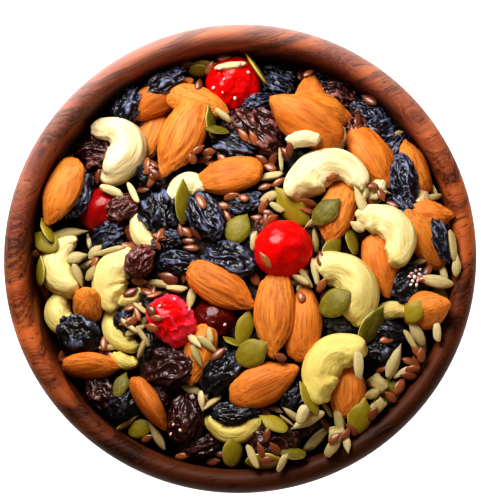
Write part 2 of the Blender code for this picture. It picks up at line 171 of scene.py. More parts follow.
# The piece of the finished model that each kind goes into
TRAYS = {"almond": "almonds", "cashew": "cashews", "cherry": "cherries", "raisin": "dark_raisins",
         "cranberry": "brown_raisins", "pumpkin": "pumpkin_seeds", "sunflower": "sunflower_kernels",
         "chip": "sunflower_kernels", "flax": "flax_seeds", "sugar": "sugar_crystals"}


def of_kind(kind, *rows):
    return [(kind, *row) for row in rows]


# Kind, across, up, turn, length and width in millimetres and degrees. Turn is from +X
# towards +Y and gives the pointed end. Then, where they aren't 0, come the roll about the
# length, the lift of the nose, a cashew's bend and how much its far end is fatter, and
# how much deeper than usual the piece is pressed in.
DEEP = [
    ("raisin", -48, 40.5, 10, 10, 7.5),
    ("cherry", -43.5, 14.5, 0, 17, 16, 0, 0, 0, 0, 3),
    ("almond", -28.5, 41, 70, 23, 12),
    ("raisin", -57, 13, 0, 11, 9),
    ("cherry", -7.5, -21.5, 0, 16, 15, 0, 0, 0, 0, 6),
    ("cranberry", -46, -46, -50, 14, 10),
    ("raisin", -37, -47, 60, 15, 11),
    ("cranberry", 11, -59, 0, 16, 15),
    ("raisin", 33, -22, 0, 14, 9),
    ("cranberry", -13, -61, 10, 14, 9),
    ("raisin", 45.5, -31, 20, 12, 10),
    ("raisin", 27, 57.5, -20, 12, 8),
    ("cashew", 56.5, 18, 15, 15, 8, 0, 0, 120),
    ("cashew", -58, -19.5, 200, 17, 9.5, 0, 0, 110),
]
MIDDLE = [
    ("raisin", -38, 52.5, 60, 13, 10),
    ("raisin", -24.5, 59.5, 27, 17, 9),
    ("almond", -25.5, 52, 28, 24, 11.5, 20),
    ("almond", -13.5, 50, 340, 22, 11),
    ("raisin", 13, 61.5, -20, 13, 8.5),
    ("raisin", 12.5, 55, -30, 12, 9),
    ("almond", 23.5, 49, 92, 22, 12),
    ("cranberry", 33, 53, -25, 12.5, 9),
    ("raisin", 43.5, 48.5, -25, 13, 8),
    ("raisin", 46, 41, 15, 13, 9),
    ("almond", 27, 46.5, 345, 22, 12),
    ("almond", 58, 29, 110, 20, 11, 50),
    ("raisin", 6, 50, 10, 11, 7),
    ("cranberry", 7.5, 41, -40, 20, 14),
    ("raisin", -3, 36, -22, 19, 9),
    ("cranberry", -48.5, 34.5, 10, 15, 12),
    ("raisin", -51.5, 19.5, 80, 16.5, 10.5),
    ("cranberry", -37.5, 15.5, 30, 11, 8.5),
    ("raisin", -42, 6.5, 15, 11, 9),
    ("cashew", -30, 6.5, 225, 16.5, 6.5, 0, 0, 90),
    ("cashew", -17, 22, 110, 14, 9, 0, 0, 90),
    ("cashew", -57.5, -2.5, 188, 22, 12, 0, 0, 130, 0.3),
    ("almond", -48.5, -16, 40, 17, 12, 0, 50),
    ("raisin", -51.5, -26, -30, 16, 13),
    ("almond", -28.5, -47.5, 302, 20, 11, 60),
    ("cranberry", -23, -36, 10, 19, 14),
    ("cranberry", -17.5, -53, 80, 17, 13),
    ("raisin", -5.5, -37, 50, 17, 12),
    ("cashew", -1.5, -55.5, 270, 20, 7.5, 0, 0, 110),
    ("raisin", -1.5, -51, 0, 16, 8),
    ("almond", 34.5, -43.5, 88, 18, 12),
    ("almond", 62, 12, 5, 17, 10.5, 0, 28),
    ("almond", 45.5, -3.5, 282, 21.5, 12),
    ("raisin", 54.5, -10, 60, 13, 11),
    ("almond", 31.5, 13.5, 252, 21, 12),
    ("cashew", 48.5, -18.5, 100, 12, 6, 0, 0, 40),
]
UPPER = [
    ("almond", -61, 22.5, 247, 23.5, 12.5),
    ("cashew", -38.5, 36.5, 18, 25, 12.5, 0, 0, 150, -0.35),
    ("almond", -18.5, 38.5, 245, 28, 14.5),
    ("almond", 21.5, 43.5, 148, 27, 15),
    ("cashew", 21, 37.5, 95, 12, 5.5, 0, 0, 30),
    ("almond", -3.5, 25.5, 191, 24, 12.5),
    ("almond", 43, 31, 302, 22.5, 13.5),
    ("raisin", 53, 23.5, 98, 17, 9),
    ("almond", 59.5, 4.5, 120, 22, 10),
    ("raisin", 64.5, 4.5, 112, 15, 6),
    ("cashew", 29.5, 26.5, 97, 28, 12.5, 0, 0, 130, 0.25),
    ("cashew", 49, 7, 35, 24, 11, 0, 0, 120),
    ("cashew", 36, -10, 30, 27, 13, 0, 0, 105),
    ("almond", 59.8, -18.2, 20, 17.5, 12.5, 0, 45),
    ("cashew", 29, -35, 140, 25, 13, 0, 0, 105),
    ("almond", 20.5, -22.5, 85, 24, 12.5),
    ("raisin", -11, 12.5, -60, 17, 11),
    ("raisin", -26.3, 14.3, 110, 15, 13),
    ("raisin", -19.5, -2, -15, 14, 9),
    ("pumpkin", 0, 8.5, 60, 11, 8.5),
    ("raisin", -3.5, -1.5, -15, 19, 12),
    ("cashew", -40.5, -7, 160, 20, 12.5, 0, 0, 100),
    ("cranberry", -31.5, -2.5, 60, 12, 10),
    ("cashew", -38.5, -25, 215, 18, 7, 0, 0, 110),
    ("almond", -5.5, -10.5, 330, 25, 12.5),
    ("almond", 11.5, -19.5, 268, 27, 13.5),
    ("almond", -49, -37, 0, 19.5, 11.5, 55),
    ("almond", 8, -41.5, 24, 24, 13.5),
    ("cashew", -36.5, -34, 250, 9, 5, 0, 0, 50),
]
SEEDS = [
    *of_kind("pumpkin", (-64, 5, 140, 10, 7.5), (-65.5, -5, 90, 10, 6, -40),
             (-9, 43.5, 100, 11, 5, 40), (-18, 17.5, 88, 14.5, 6, 50), (17, 15.8, 130, 15.5, 9),
             (28.3, 14, 40, 11.5, 7.5), (36.3, 4.5, 105, 10, 5, 35), (31.2, -15.5, 30, 12, 9),
             (42.5, -23, 60, 14, 7.5, 20), (56, -18.5, 60, 8, 6.5), (2, -23.5, 75, 12, 6, 25),
             (4.5, -31.5, 30, 12, 9), (22.3, -46, 118, 11.5, 5.5, 60), (39.5, -53, 75, 11.5, 8),
             (47.5, -44, 30, 11, 7.5), (-31, -55.5, 25, 9, 6), (-2, -66, 82, 11, 6.5, 15)),
    *of_kind("sunflower", (-54.5, 7.5, 8, 12.5, 5), (-40.5, 21, 335, 10, 5),
             (11, 25.5, 12, 9.5, 4.5), (9.5, 18.5, 200, 7.5, 4.5), (24.3, -5, 100, 10, 4, 20),
             (39.3, 17, 110, 11, 4.5), (63, -25.5, 275, 7.5, 4.5)),
    *of_kind("chip", (60.5, -31, 290, 7, 6.3)),
    *of_kind("sunflower", (56.5, -25, 118, 10.5, 5), (49.5, -34.5, 70, 12, 5.5),
             (38.2, -35, 97, 10.5, 5.5)),
    *of_kind("chip", (44, -41.5, 150, 9.5, 7)),
    *of_kind("sunflower", (32, -53.5, 105, 9.5, 5.3), (21.5, -53.3, 208, 13, 5),
             (24.5, -60.5, 222, 12.5, 5.5), (-26, -57.8, 118, 10.5, 4)),
    *of_kind("chip", (46.5, -50.5, 70, 7.5, 6), (32.5, -61.5, 60, 8.5, 7)),
]

# The three cherries on top, at the back, in the centre and in front: the blank, across, up
# and width, and the layer that each one lies down before
TOP_CHERRIES = [
    (1, -1.8, 57.5, 18.4, "middle"),
    (0, 14.3, 1.5, 18.8, "upper"),
    (2, -22, -21, 18.5, "upper"),
]

# Pieces that show between or under the others
BETWEEN = [
    ("pumpkin", 65, -15.2, 78, 11.5, 6.5),
    ("cranberry", -44, 27, 20, 12, 10),
    ("cranberry", -27, 23.5, 20, 11, 9),
    ("almond", -12.5, -32, 255, 20, 11),
    ("raisin", -35, -21, 70, 14, 10),
    ("raisin", 17.5, -46, 40, 12, 9),
    ("raisin", 47.5, -24.5, -20, 11, 8),
    ("cranberry", 37, 43, -40, 11, 9),
    ("raisin", 50, 34, 50, 12, 9),
    ("raisin", 52.5, 14.5, -30, 11, 9),
    ("raisin", -24, 5, 0, 12, 9),
    ("cashew", 29.5, 38, 0, 18, 8, 0, 0, 120),
    ("cashew", 42.5, 20, 300, 14, 7, 0, 0, 100),
]

# Raisins against the wall, and the seeds, chips and sugar that lie loose on the rest
SPRINKLED = [
    *of_kind("raisin", (-40, 55.2, 60, 13.5, 9.5, 0, 0, 0, 0, 2),
             (-25.3, 61, 27, 15, 8.5, 0, 0, 0, 0, 2), (2.5, 16.5, 20, 11, 7)),
    *of_kind("cashew", (-34.5, -14, 300, 8, 5.5, 0, 0, 50)),
    *of_kind("pumpkin", (-62, 8.5, 115, 10, 5.5, 65), (-12, 64, 5, 11, 6, 50),
             (-12.5, 60.5, 0, 8, 5, 30), (5.8, 64.3, 122, 13, 6, 65), (-7.5, 41, 175, 9, 4, 30),
             (-2, -28, 150, 7, 5, 60), (11, -54, 150, 10, 5.5, 15), (8.5, -67.5, 5, 12.5, 6.5, 30),
             (17, -63.5, 175, 9, 5, 50), (-37.5, -41.5, 70, 8.5, 5)),
    *of_kind("sunflower", (-34, 20, 297, 9.5, 4, 30), (-30, 23.8, 50, 8, 4, 60),
             (-48.3, 4.5, 280, 6, 3), (-25, -9.3, 345, 9.5, 4.5), (-19.5, -11, 355, 8, 4),
             (13.7, 31.5, 95, 9.5, 3, 30), (12.5, 15, 330, 6.5, 4), (24.6, 5, 95, 9.5, 3.5, 20),
             (38, 9, 150, 6, 4.5), (70, 3, 97, 12, 4.5, 20), (70.4, -4, 85, 7, 4, 20),
             (66.3, -9.5, 172, 13, 5.8), (54.5, -27.5, 122, 9, 3.5, 40), (52, -38, 35, 7, 3.5),
             (42, -45, 200, 6, 4.5), (31, -63.5, 60, 8.5, 6), (34.7, -61.5, 275, 6, 3.5),
             (20.5, -50.5, 60, 8, 6), (12.5, -49.8, 170, 7, 3, 30), (15, -53, 142, 6, 2.5, 60),
             (28, -49.5, 125, 6.5, 3, 30), (4.3, -64, 117, 9.5, 4.5, 20), (14, -66, 60, 7.5, 4),
             (-15.5, -43, 160, 7.5, 4.5), (-46, 1.5, 40, 7, 5), (-41, 1.8, 12, 12, 3.5, 40),
             (-51.7, -6.5, 292, 8.5, 4), (-52, -0.5, 20, 7.5, 5.5), (-47.5, -5.5, 60, 6, 4),
             (52.3, 39.7, 28, 6.5, 3.5), (-4.5, 45.3, 320, 8, 4), (-2, 62, 8, 12, 4.5)),
    *of_kind("flax", (-17.7, 64.1, 25, 5, 2.5), (-5, 66.3, 5, 5, 2.5), (-9.5, 61.5, 60, 5, 2.6),
             (-13, 56, 80, 4.5, 2.6), (-13, 34.5, 35, 5, 2.4), (-9.5, 33.5, 10, 5, 3),
             (-15, 31.5, 120, 4, 3), (-11, 31, 15, 5.5, 2.4), (10, 28.5, 150, 5, 3),
             (8.5, 22, 12, 5, 2.4), (13, 23.5, 35, 5, 2.4), (-2.3, 19, 15, 5.5, 2.8),
             (1.5, 18.5, 150, 4, 2.8), (-5, 16, 170, 4.8, 2.8), (-12.3, 17.5, 120, 6.3, 3),
             (-3.7, 12.7, 118, 4.5, 2.2), (-18.8, 8.5, 110, 5.5, 2.6), (-16.8, 7.5, 140, 5, 2.8),
             (-16.3, 4.5, 175, 4.8, 2.4), (-15.2, 2.3, 175, 5.5, 2.6), (-24, 3, 170, 4.5, 2.8),
             (6.2, 11.7, 165, 5, 2.8), (8, 15.8, 60, 5.5, 2.8), (22.5, 14.3, 172, 6, 2.6),
             (22.5, 16.8, 160, 5.5, 2.4), (30.3, 25, 20, 4.5, 2.8), (8.6, -1.8, 125, 6.3, 2.6),
             (5, -7.5, 120, 6, 3.2), (26.7, -10, 60, 5.5, 2.8), (20, -13.8, 100, 4, 2.6),
             (13.2, -33, 160, 4.5, 2.8), (-28.3, -17.8, 130, 4.8, 3.2),
             (-26.5, -20.3, 175, 4.5, 2.2), (-28, -23.3, 165, 4.8, 2.8), (-6.5, -31.8, 42, 6, 2.8),
             (-34.7, -11.9, 28, 5.5, 2.8), (-22.5, -7.3, 160, 7, 4), (47.5, -27.5, 15, 5.5, 2.8),
             (42.8, 50.9, 145, 6.3, 3.2), (1.5, 39, 130, 5.5, 2.6), (4.8, 38, 115, 5.5, 2.6),
             (16.5, 34.5, 80, 5, 2.6), (21, 62, 90, 4, 2.6), (23.5, 61.5, 30, 4, 2.4),
             (26.3, -1.5, 100, 5.5, 2.8), (56.5, -31.5, 130, 5, 2.4), (58, -32.6, 90, 5, 3),
             (54, -34.5, 160, 5.5, 2.6), (56.2, -35.6, 108, 6, 2.6), (55.3, -37, 10, 5, 2.6),
             (53.8, -39.1, 175, 5.5, 2.8), (51.2, -42.4, 62, 6.5, 3.4), (48.2, -45.8, 140, 5, 2.8),
             (42.6, -51.1, 60, 5, 3), (35.6, -56.2, 130, 5, 2.6), (34, -57.5, 60, 4.5, 2.6),
             (30.5, -58.8, 40, 5, 2.6), (9, -57.5, 80, 5, 2.6), (11.5, -62, 130, 5, 2.8),
             (-17.8, -64.4, 8, 5, 2.4), (-7.9, -66, 10, 5, 2.8), (-29, -58.7, 30, 4.5, 2.4),
             (7, -62.5, 110, 5.5, 2.4), (9.3, -65.8, 10, 5.5, 2.8)),
    *of_kind("sugar", (55.2, -6.4, 20, 1.5, 1), (56.6, -5.6, 70, 1.3, 1.1),
             (57.8, -6.8, 140, 1.6, 1.1), (56.2, -7.6, 100, 1.7, 1.2), (58.6, -8.2, 10, 1.4, 0.9),
             (57.2, -8.8, 60, 1.6, 1), (55.6, -8.9, 120, 1.3, 1), (54.6, -7.4, 160, 1.5, 1.1),
             (58, -5.2, 45, 1.2, 0.9), (56.8, -10.2, 80, 1.4, 1), (55, -10.1, 30, 1.3, 0.9),
             (-8.2, 54.8, 40, 1.4, 1.1), (-1.2, 51.2, 100, 1.4, 1.1), (-5.2, 53.2, 150, 1, 0.8),
             (-6.2, 61.2, 20, 1.6, 1.2), (0.2, 62.6, 80, 1.7, 1.2), (3.2, 59.8, 130, 1.4, 1.1),
             (-4.8, 57.6, 60, 1.2, 0.9), (-15.8, -17.6, 70, 1.3, 1), (-20.6, -14.2, 110, 1.4, 1),
             (-25.4, -16.4, 20, 1.1, 0.9), (-4.4, -22.6, 50, 1.3, 1), (-20.8, -54.4, 60, 1.2, 0.9),
             (-18.6, -56.2, 120, 1.3, 1), (-17.4, -53.6, 10, 1.1, 0.8),
             (-21.6, -57.4, 80, 1.2, 0.9)),
]


# Heights in the bowl

def hollow_height(r):
    """Height of the hollow's surface at radius r, up to the lip's base."""
    share = np.clip(r / HOLLOW_RADIUS, 0, 1)
    return FLOOR + (LIP_BASE - FLOOR) * (1 - (1 - share**HOLLOW_POWER) ** (1 / HOLLOW_POWER))


def hollow_radius(z):
    share = np.clip((LIP_BASE - z) / (LIP_BASE - FLOOR), 0, 1)
    return HOLLOW_RADIUS * (1 - share**HOLLOW_POWER) ** (1 / HOLLOW_POWER)


def bowl_top(r):
    """Height of the bowl's upper surface at radius r, over the hollow and the lip."""
    off_middle = (r - HOLLOW_RADIUS - LIP_WIDTH / 2) / (LIP_WIDTH / 2)
    lip = LIP_BASE + LIP_ROUND * np.sqrt(1 - np.clip(off_middle, -1, 1) ** 2)
    return np.where(r < HOLLOW_RADIUS, hollow_height(r), np.where(r < RIM_RADIUS, lip, 0.0))


def dome(x, y, tilt):
    """How far a surface stands over its edge: a low dome that tips one way."""
    r = np.hypot(x, y) / FILL_RADIUS
    return tilt * r * np.cos(np.arctan2(y, x) - TILT_TOWARDS) + CROWN * (1 - r**2)


def core_top(x, y):
    return CORE_EDGE + dome(x, y, CORE_TILT)


# Stacking the pieces

def turned(axis, degrees):
    return np.array(Matrix.Rotation(radians(degrees), 3, axis))


def leaning(slope_x, slope_y):
    """The turn that tips +Z onto the normal of a plane with these slopes."""
    up = Vector((0, 0, 1))
    return np.array(up.rotation_difference(Vector((-slope_x, -slope_y, 1))).to_matrix())


def bend_line(length, width, bend):
    """A cashew's middle line: its arc's radius and the shift that centres the nut."""
    half = radians(bend) / 2
    radius = (length - width) / 2 / max(sin(half), LEAST_SINE)
    return half, radius, radius * (1 + cos(half)) / 2


def lumps(kind, length, width, bend, fatter):
    """The ellipsoids that stand for a piece in the stack: each one's centre and half sizes."""
    thick = KINDS[kind]["thick"]
    if kind != "cashew":
        return [(np.zeros(3), np.array([length / 2, width / 2, thick * width / 2]))]
    half, radius, shift = bend_line(length, width, bend)
    found = []
    for share in BALL_SHARES:
        size = width / 2 * (1 + fatter * share)
        centre = np.array([radius * cos(share * half) - shift, radius * sin(share * half), 0])
        found.append((centre, np.array([size, size, size * thick])))
    return found


class Stack:
    """A height map of the bowl and what lies in it. Each piece comes to rest on it in turn."""

    def __init__(self):
        axis = np.arange(-GRID_HALF, GRID_HALF + CELL, CELL)
        self.x, self.y = np.meshgrid(axis, axis)
        r = np.hypot(self.x, self.y)
        self.bowl = bowl_top(r)
        fill = np.maximum(core_top(self.x, self.y), self.bowl)
        self.top = np.where(r < HOLLOW_RADIUS, fill, self.bowl)
        self.owner = np.full(r.shape, BARE)

    def window(self, x, y, reach):
        """The rows and columns of the grid within reach of a place."""
        return tuple(slice(max(0, int((middle - reach + GRID_HALF) / CELL)),
                           int((middle + reach + GRID_HALF) / CELL) + 2) for middle in (y, x))

    def under_and_over(self, turn, parts, x, y, seen):
        """Heights of a piece's lower and upper faces over the window, for a centre at 0."""
        lower = np.full(self.x[seen].shape, np.inf)
        upper = np.full(self.x[seen].shape, -np.inf)
        for centre, half in parts:
            c = turn @ centre
            form = turn @ np.diag(1 / half**2) @ turn.T
            dx, dy = self.x[seen] - x - c[0], self.y[seen] - y - c[1]
            b = form[0, 2] * dx + form[1, 2] * dy
            rest = form[0, 0] * dx**2 + 2 * form[0, 1] * dx * dy + form[1, 1] * dy**2 - 1
            root = np.sqrt(np.clip(b**2 - form[2, 2] * rest, 0, None))
            hit = root > 0
            lower = np.where(hit, np.minimum(lower, (-b - root) / form[2, 2] + c[2]), lower)
            upper = np.where(hit, np.maximum(upper, (-b + root) / form[2, 2] + c[2]), upper)
        return lower, upper

    def ground_lean(self, x, y, seen, reach):
        """The turn that lays a piece along the ground under its middle."""
        dx, dy = self.x[seen] - x, self.y[seen] - y
        near = np.hypot(dx, dy) < reach
        plane = np.c_[dx[near], dy[near], np.ones(near.sum())]
        slope_x, slope_y, _ = np.linalg.lstsq(plane, self.top[seen][near], rcond=None)[0]
        steep = max(np.hypot(slope_x, slope_y), 1e-9)
        lean = LEAN_SHARE * min(1, tan(LEAN_LIMIT) / steep)
        return leaning(slope_x * lean, slope_y * lean)

    def lay(self, kind, across, up, turn, length, width, roll=0, nose=0, bend=0, fatter=0,
            sunk=0):
        """Lay a piece where the table puts it, and give its turn and its centre."""
        across, up, length, width = (v * MM for v in (across, up, length, width))
        rules = KINDS[kind]
        parts = lumps(kind, length, width, bend, fatter)
        own_turn = turned("Z", turn) @ turned("Y", -nose) @ turned("X", roll)
        z, inward = READING_HEIGHT, 0.0
        for _ in range(SETTLING_ROUNDS):
            along_sight = (READING_HEIGHT - z) / (EYE.z - READING_HEIGHT)
            x = across + (across - EYE.x) * along_sight
            y = up + (up - EYE.y) * along_sight
            shrink = 1 - inward / max(np.hypot(x, y), MM)
            x, y = x * shrink, y * shrink
            seen = self.window(x, y, WINDOW_SHARE * length)
            reach = GROUND_SHARE * (length + width)
            full_turn = self.ground_lean(x, y, seen, reach) @ own_turn
            lower, upper = self.under_and_over(full_turn, parts, x, y, seen)
            inside = np.isfinite(lower)
            on_food = np.percentile((self.top[seen] - lower)[inside], PRESS_PERCENT)
            highest = MEAN_TOP + float(dome(x, y, TOP_TILT)) + rules["rise"] * MM
            wanted = min(on_food - (rules["sink"] + sunk) * MM, highest - upper[inside].max())
            on_bowl = (self.bowl[seen] - lower)[inside].max() + WALL_GAP
            z = max(wanted, on_bowl)
            if on_bowl > wanted + STAND_OFF:
                inward = min(inward + INWARD_STEP, INWARD_LIMIT)
        self.cover(seen, upper + z, SHOWN)
        return full_turn, np.array([x, y, z])

    def cover(self, seen, surface, owner):
        higher = surface > self.top[seen]
        self.owner[seen] = np.where(higher, owner, self.owner[seen])
        self.top[seen] = np.maximum(self.top[seen], surface)

    def tuck(self, kind, x, y, turn, length, width, roll, below, percent):
        """Drop a piece into a gap. It is refused where it would hide a piece of the table."""
        parts = lumps(kind, length, width, GAP_BEND, 0)
        seen = self.window(x, y, WINDOW_SHARE * length)
        own_turn = turned("Z", turn) @ turned("X", roll)
        full_turn = self.ground_lean(x, y, seen, 0.3 * width) @ own_turn
        lower, upper = self.under_and_over(full_turn, parts, x, y, seen)
        inside = np.isfinite(lower)
        on_food = np.percentile((self.top[seen] - lower)[inside], percent)
        on_bowl = (self.bowl[seen] - lower)[inside].max() + WALL_GAP
        z = max(on_food, on_bowl)
        shows = inside & (upper + z > self.top[seen])
        hides = shows & (self.owner[seen] == SHOWN)
        ceiling = MEAN_TOP + float(dome(x, y, TOP_TILT)) - below
        if shows.sum() < LEAST_SHOWING * inside.sum() or hides.sum() > MOST_HIDDEN * inside.sum():
            return None
        if (upper + z)[shows].max() > ceiling:
            return None
        self.cover(seen, upper + z, TUCKED)
        return full_turn, np.array([x, y, z])


# Modelling

def deselect():
    bpy.ops.object.select_all(action="DESELECT")


def use(piece):
    deselect()
    piece.select_set(True)
    bpy.context.view_layer.objects.active = piece


def corners(piece):
    places = np.empty(len(piece.data.vertices) * 3)
    piece.data.vertices.foreach_get("co", places)
    return places.reshape(-1, 3)


def pick(piece, chosen):
    """Go into edit mode with only these corners selected."""
    mesh = piece.data
    mesh.vertices.foreach_set("select", chosen)
    mesh.edges.foreach_set("select", np.zeros(len(mesh.edges), bool))
    mesh.polygons.foreach_set("select", np.zeros(len(mesh.polygons), bool))
    bpy.ops.object.mode_set(mode="EDIT")
    bpy.ops.mesh.select_mode(type="VERT")


def done():
    bpy.ops.object.mode_set(mode="OBJECT")


def note(piece, name, values):
    """Keep a value for each corner, for the material to read."""
    kind, field = ("FLOAT_VECTOR", "vector") if values.ndim > 1 else ("FLOAT", "value")
    kept = piece.data.attributes.new(name, kind, "POINT")
    kept.data.foreach_set(field, np.ascontiguousarray(values, np.float32).ravel())


def round_blank(name, fineness):
    """The ball that a nut, fruit or seed is shaped from."""
    deselect()
    bpy.ops.mesh.primitive_ico_sphere_add(subdivisions=fineness, radius=1)
    piece = bpy.context.object
    piece.name = name
    note(piece, "own", corners(piece))
    return piece


def pinch(piece, towards, value, reach, push=(0, 0, 0)):
    """Resize and push the end that lies towards a direction, fading out over a reach."""
    towards = Vector(towards).normalized()
    nearest = corners(piece) @ np.array(towards)
    pick(piece, nearest > nearest.max() - TIP_DEPTH)
    centre = towards * float(nearest.max())
    soft = dict(use_proportional_edit=True, proportional_edit_falloff="SMOOTH",
                proportional_size=reach)
    bpy.ops.transform.resize(value=value, center_override=centre, **soft)
    bpy.ops.transform.translate(value=push, **soft)
    done()


def dent(piece, sides, reach):
    """Push in the sides that lie towards some directions, each by its own depth."""
    for towards, depth in sides:
        pinch(piece, towards, (1, 1, 1), reach, -depth * Vector(towards).normalized())


def press(piece, method, axis, amount):
    """Bend by an angle, or taper by a factor."""
    bpy.ops.object.modifier_add(type="SIMPLE_DEFORM")
    bent = piece.modifiers[-1]
    bent.deform_method = method
    bent.deform_axis = axis
    setattr(bent, "angle" if method == "BEND" else "factor", amount)
    bpy.ops.object.modifier_apply(modifier=bent.name)


def pucker(piece, pattern, size, stretch, depth, shift, level=0.5):
    """Push the surface in and out by a pattern, stretched along the piece's axes."""
    texture = bpy.data.textures.new(pattern.lower(), pattern)
    texture.noise_scale = size
    if pattern == "MUSGRAVE":
        texture.musgrave_type = "RIDGED_MULTIFRACTAL"
        texture.octaves = 3
    bpy.ops.object.empty_add(location=(shift, 2 * shift, -shift))
    ruler = bpy.context.object
    ruler.scale = stretch
    use(piece)
    bpy.ops.object.modifier_add(type="DISPLACE")
    pushed = piece.modifiers[-1]
    pushed.texture = texture
    pushed.texture_coords = "OBJECT"
    pushed.texture_coords_object = ruler
    pushed.strength = depth
    pushed.mid_level = level
    bpy.context.view_layer.update()
    bpy.ops.object.modifier_apply(modifier=pushed.name)
    bpy.data.objects.remove(ruler)


def roughened(piece, *patterns):
    """Pucker a blank, and keep how far each corner went: 0 in the creases, 1 on the ridges."""
    before = corners(piece)
    for pattern in patterns:
        pucker(piece, *pattern)
    pushed = np.linalg.norm(corners(piece), axis=1) - np.linalg.norm(before, axis=1)
    low, high = np.percentile(pushed, (4, 96))
    note(piece, "relief", np.clip((pushed - low) / (high - low), 0, 1))
    return piece


def almond_blank(number, fineness=5):
    piece = round_blank("almond_blank", fineness)
    tip = (1.0, 0.5, 0.6) if number % 2 else (1.0, 0.64, 0.72)
    pinch(piece, (1, 0, 0), tip, 1.15, (0.03, 0.03 * (number % 5 - 1.5), 0))
    pinch(piece, (-1, 0, 0), (1.0, 1.2, 1.1), 0.8)
    grooves = 0.045 if number in GROOVED else 0.02
    return roughened(piece, ("CLOUDS", 0.9, (1.4, 1, 1), 0.12, 3.1 * number),
                     ("MUSGRAVE", 0.36, (5.5, 0.8, 0.8), grooves, 5.3 * number, 0.6))


def raisin_blank(number, fineness=5):
    piece = round_blank("raisin_blank", fineness)
    chance = random.Random(40 + number)
    dent(piece, [([chance.gauss(0, 1) for _ in range(3)], 0.17) for _ in range(4)], 0.7)
    return roughened(piece, ("CLOUDS", 0.7, (1, 1, 1), 0.2, 2.7 * number),
                     ("MUSGRAVE", 0.5, (1.7, 0.9, 0.9), 0.16, 4.9 * number, 0.7))


def cashew_blank(number, fineness=5):
    piece = round_blank("cashew_blank", fineness)
    pinch(piece, (1, 0, 0), (1.0, 1.7, 1.6), 0.75)
    pinch(piece, (-1, 0, 0), (1.0, 1.55, 1.45), 0.7)
    return roughened(piece, ("CLOUDS", 0.7, (1.2, 1, 1), 0.22, 3.7 * number),
                     ("MUSGRAVE", 0.7, (2.4, 1, 1), 0.02, 2.3 * number, 0.6))


def cherry_blank(number, fineness=6):
    piece = round_blank("cherry_blank", fineness)
    pinch(piece, (0.5, -0.6, 0.62), (0.8, 0.8, 0.8), 0.5, (-0.05, 0.06, -0.06))
    pinch(piece, (0, 0, -1), (1.2, 1.2, 1), 0.9)
    if number == CRUSHED:
        dent(piece, (((-0.8, -0.7, 0), 0.3), ((0.8, 0.6, 0.1), 0.2), ((-0.2, 1, 0.2), 0.1),
                     ((-1, 0.2, 0.1), 0.12), ((0.2, -0.3, 1), 0.1)), 0.8)
    wrinkled = (0.005, 0.03, 0.06)[number]
    return roughened(piece, ("CLOUDS", 0.75, (1, 1, 1), 0.12, 1.9 * number),
                     ("MUSGRAVE", 0.32, (1, 1, 1.6), wrinkled, 3.3 * number, 0.6))


def pumpkin_blank(number, fineness=4):
    piece = round_blank("pumpkin_blank", fineness)
    pinch(piece, (1, 0, 0), (1.0, 0.32, 0.7), 1.1, (0.04, 0, 0))
    return roughened(piece, ("CLOUDS", 0.9, (1, 1, 1), 0.14, 2.1 * number))


def sunflower_blank(number, fineness=4):
    piece = round_blank("sunflower_blank", fineness)
    blunt = number % 5 in BLUNT
    tip = (1.0, 0.8, 0.8) if blunt else (1.0, 0.3, 0.45)
    pinch(piece, (1, 0, 0), tip, 1.5, (0.05, 0, 0))
    if blunt:
        dent(piece, (((1, 0.4, 0.2), 0.3), ((-0.3, 1, 0), 0.24), ((0.2, -1, 0.4), 0.2)), 0.9)
    return roughened(piece, ("CLOUDS", 0.8, (1.5, 1, 1), 0.24, 2.9 * number))


def chip_blank(number, fineness=4):
    piece = round_blank("chip_blank", fineness)
    dent(piece, (((1, 0.5, 0.1), 0.4), ((-0.6, 1, 0), 0.34), ((0.3, -1, -0.2), 0.34),
                 ((-1, -0.4, 0.3), 0.24)), 0.8)
    return roughened(piece, ("CLOUDS", 0.7, (1.2, 1, 1), 0.4, 3.1 * number + 0.7))


def flax_blank(number, fineness=3):
    piece = round_blank("flax_blank", fineness)
    pinch(piece, (1, 0, 0), (1.0, 0.4, 0.7), 1.2, (0.03, 0, 0))
    return roughened(piece, ("CLOUDS", 1.0, (1, 1, 1), 0.08, 1.7 * number))


def sugar_blank(number, fineness=2):
    piece = round_blank("sugar_blank", fineness)
    pinch(piece, (1, 0.4 * number, 0.3), (0.6, 0.6, 0.6), 0.9)
    return roughened(piece, ("CLOUDS", 0.8, (1, 1, 1), 0.5, 2.3 * number))


BLANKS = {"almond": (almond_blank, 5), "raisin": (raisin_blank, 5), "cashew": (cashew_blank, 4),
          "cherry": (cherry_blank, 3), "pumpkin": (pumpkin_blank, 3),
          "sunflower": (sunflower_blank, 5), "chip": (chip_blank, 4), "flax": (flax_blank, 2),
          "sugar": (sugar_blank, 2)}


